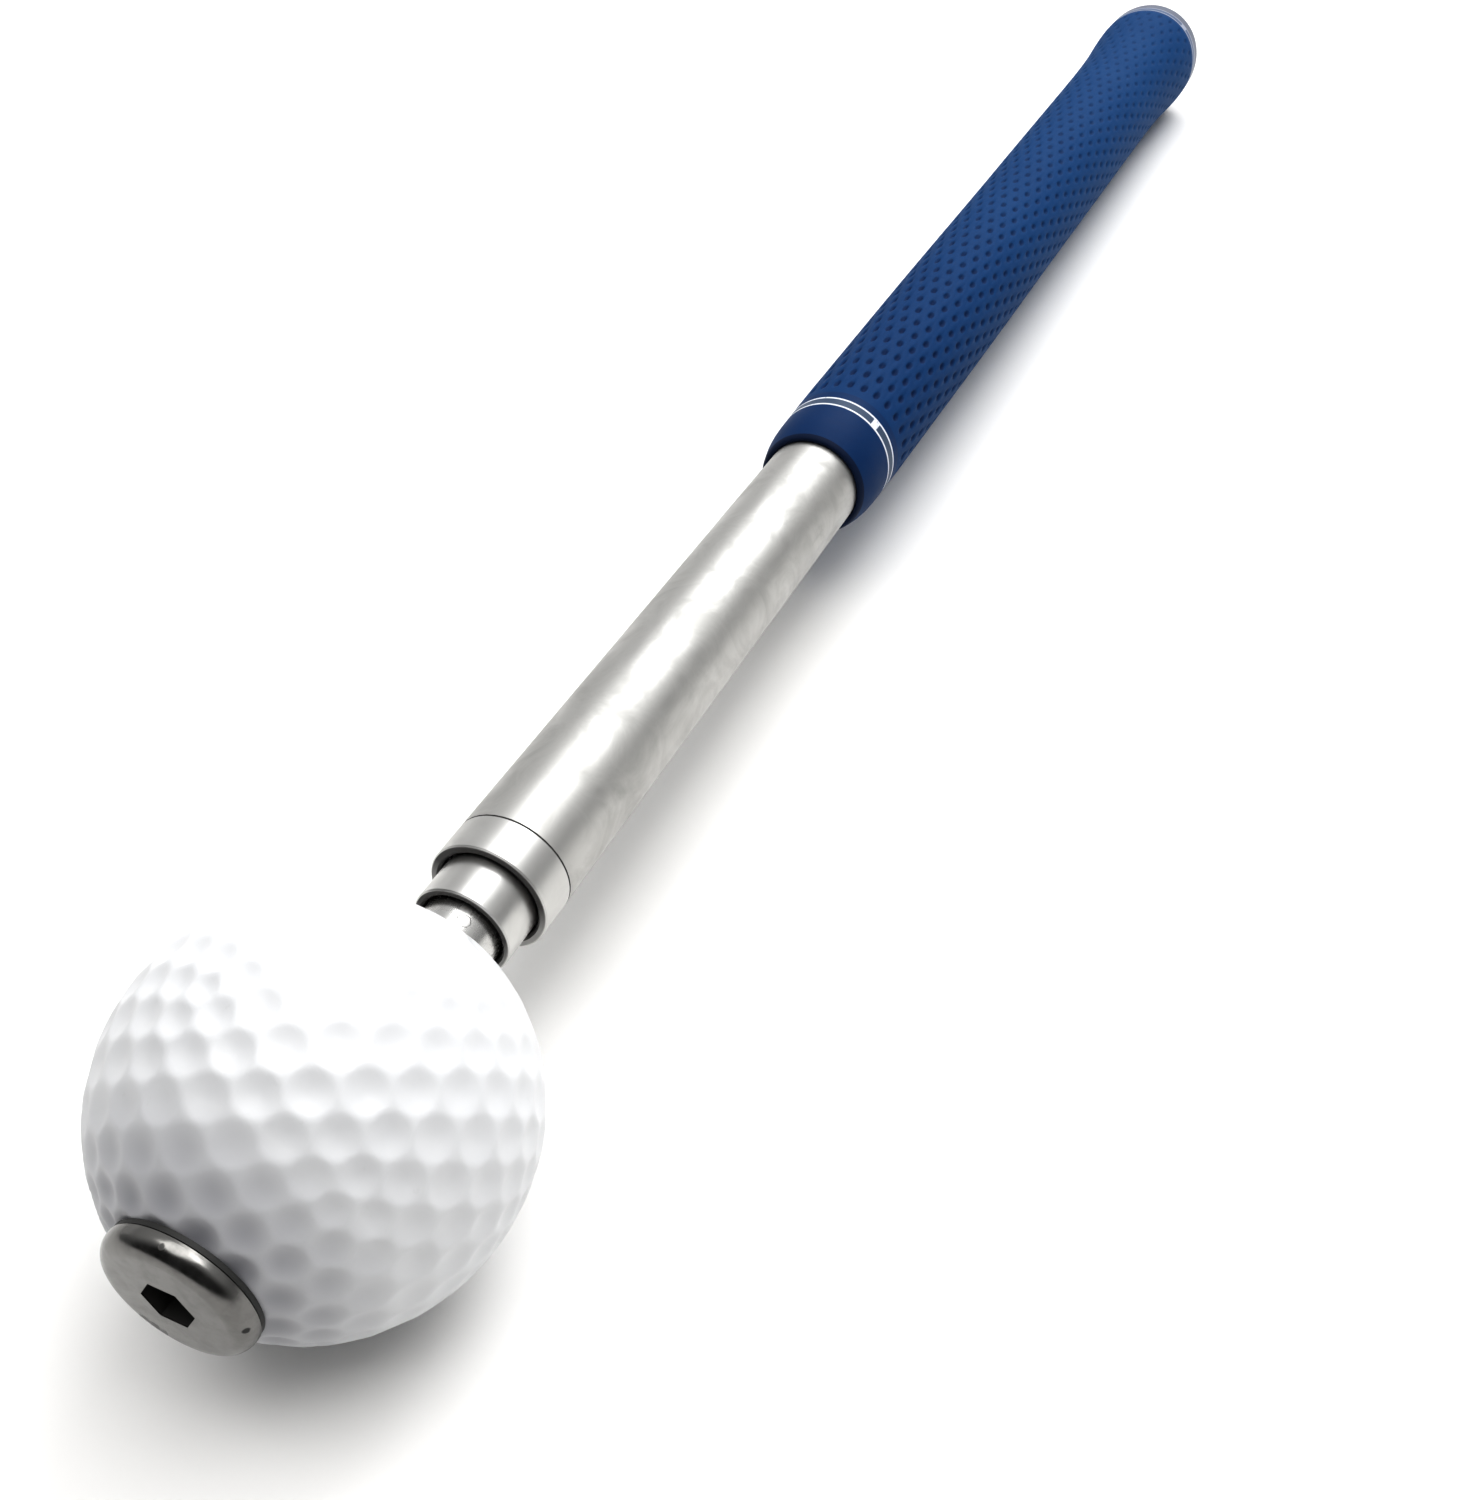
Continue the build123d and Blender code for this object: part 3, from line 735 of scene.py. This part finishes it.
# ------------------------------------------------------------------ light
# soft boxes: name, place, aim, width, height (all metres), power (watts), colour
LIGHTS = (
    ("window", (-0.61, 0.04, 0.82), (0.25, 0, 0), 0.80, 0.64, 7.3, (0.99, 0.995, 1.0)),
    ("lamp", (0.42, 0.04, 1.0), (0.37, 0, 0), 1.05, 0.72, 7.4, (1.0, 0.995, 0.985)),
    ("high_fill", (0.20, 0.45, 0.95), (0.25, 0, 0), 0.50, 0.50, 1.5, (1, 1, 1)),
    ("left_card", (-0.20, -0.90, 0.22), (0.20, 0, 0.02), 1.60, 0.40, 0.9, (1, 1, 1)),
)
for name, place, aim, width, height, power, colour in LIGHTS:
    data = bpy.data.lights.new(name, "AREA")
    data.shape = "RECTANGLE"
    data.size, data.size_y = width, height
    data.energy = power
    data.color = colour
    light = bpy.data.objects.new(name, data)
    bpy.context.scene.collection.objects.link(light)
    light.location = place
    light.rotation_euler = (Vector(aim) - Vector(place)).to_track_quat("-Z", "Y").to_euler()
    light.visible_camera = False

# room: grey at the horizon and paler overhead, but nearly black on the ball's side, which leaves
# the front of the ball and the bolt in half shade
ROOM_STOPS = ((0.0, 0.33), (0.22, 0.39), (0.50, 0.68), (0.80, 0.80), (1.0, 0.70))
ROOM_TINT = (0.995, 0.998, 1.0)
DARK_SIDE = (0.99, 0.10, 0.0)
DARK_FROM, DARK_TO, DARK_LEVEL = 0.12, 0.60, 0.05
WALL = (0.80, 0.80, 0.79, 1)

world = bpy.data.worlds.new("studio")
bpy.context.scene.world = world
world.use_nodes = True
wnodes, wlink = world.node_tree.nodes, world.node_tree.links.new
way = wnodes.new("ShaderNodeTexCoord").outputs["Generated"]
split = wnodes.new("ShaderNodeSeparateXYZ")
wlink(way, split.inputs[0])
sky = wnodes.new("ShaderNodeValToRGB")
wlink(split.outputs["Z"], sky.inputs[0])
fill_ramp(sky, [(place, tuple(value * t for t in ROOM_TINT)) for place, value in ROOM_STOPS])
forward = wnodes.new("ShaderNodeVectorMath")
forward.operation = "DOT_PRODUCT"
forward.inputs[1].default_value = DARK_SIDE
wlink(way, forward.inputs[0])
dim = wnodes.new("ShaderNodeMapRange")
dim.inputs["From Min"].default_value = DARK_FROM
dim.inputs["From Max"].default_value = DARK_TO
dim.inputs["To Min"].default_value = 1.0
dim.inputs["To Max"].default_value = DARK_LEVEL
wlink(forward.outputs["Value"], dim.inputs["Value"])
dimmed = wnodes.new("ShaderNodeVectorMath")
dimmed.operation = "SCALE"
wlink(sky.outputs[0], dimmed.inputs[0])
wlink(dim.outputs[0], dimmed.inputs["Scale"])
room = wnodes["Background"]
room.inputs[1].default_value = 1.0
wlink(dimmed.outputs[0], room.inputs[0])
# what the camera sees past the floor is a plain pale wall; the room above only lights the object
wall = wnodes.new("ShaderNodeBackground")
wall.inputs[0].default_value = WALL
seen = wnodes.new("ShaderNodeMixShader")
wlink(wnodes.new("ShaderNodeLightPath").outputs["Is Camera Ray"], seen.inputs[0])
wlink(room.outputs[0], seen.inputs[1])
wlink(wall.outputs[0], seen.inputs[2])
wlink(seen.outputs[0], wnodes["World Output"].inputs[0])

# the photograph is contrasty: its paper is pure white, and its middle tones are deep
VIEW_EXPOSURE, VIEW_GAMMA = 0.05, 0.78
view = bpy.context.scene.view_settings
view.view_transform = "Standard"
view.look = "None"
view.exposure = VIEW_EXPOSURE
view.gamma = VIEW_GAMMA
